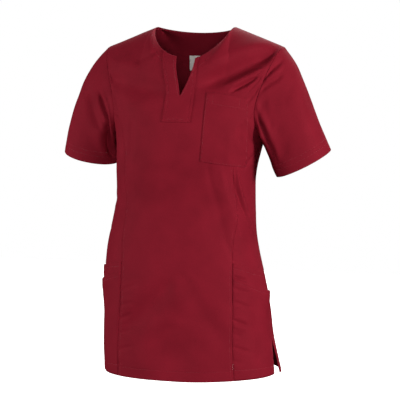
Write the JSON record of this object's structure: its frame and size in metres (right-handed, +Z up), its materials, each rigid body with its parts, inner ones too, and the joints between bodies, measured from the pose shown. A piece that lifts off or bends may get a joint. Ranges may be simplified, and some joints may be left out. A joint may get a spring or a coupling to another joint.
{
  "type": "scrub tunic",
  "caption": "Short-sleeved hospital tunic in woven cloth with a slit neck, princess seams, a chest pocket and layered side pockets, filled out as worn.",
  "frame": {"origin": "middle of the wearer's shoulders, level with the two neck points of the shoulder seams", "axes": "+Z up along the wearer's body, the front faces -Y, and +X is the wearer's left"},
  "size_m": [0.5835, 0.2573, 0.7301],
  "materials": {
    "wine_red_twill": "matte fine twill with a slight sheen",
    "white_satin_tape": "soft satin weave"
  },
  "bodies": {
    "root": {"centre_front": "wine_red_twill", "back": "wine_red_twill", "side_front_left": "wine_red_twill", "side_front_right": "wine_red_twill", "sleeve_left": "wine_red_twill", "sleeve_right": "wine_red_twill", "side_pocket_left": "wine_red_twill", "side_pocket_right": "wine_red_twill", "outer_pocket_left": "wine_red_twill", "outer_pocket_right": "wine_red_twill", "slit_placket": "wine_red_twill", "chest_pocket": "wine_red_twill", "back_neck_facing": "wine_red_twill", "neck_label": "white_satin_tape"}
  },
  "joints": []
}
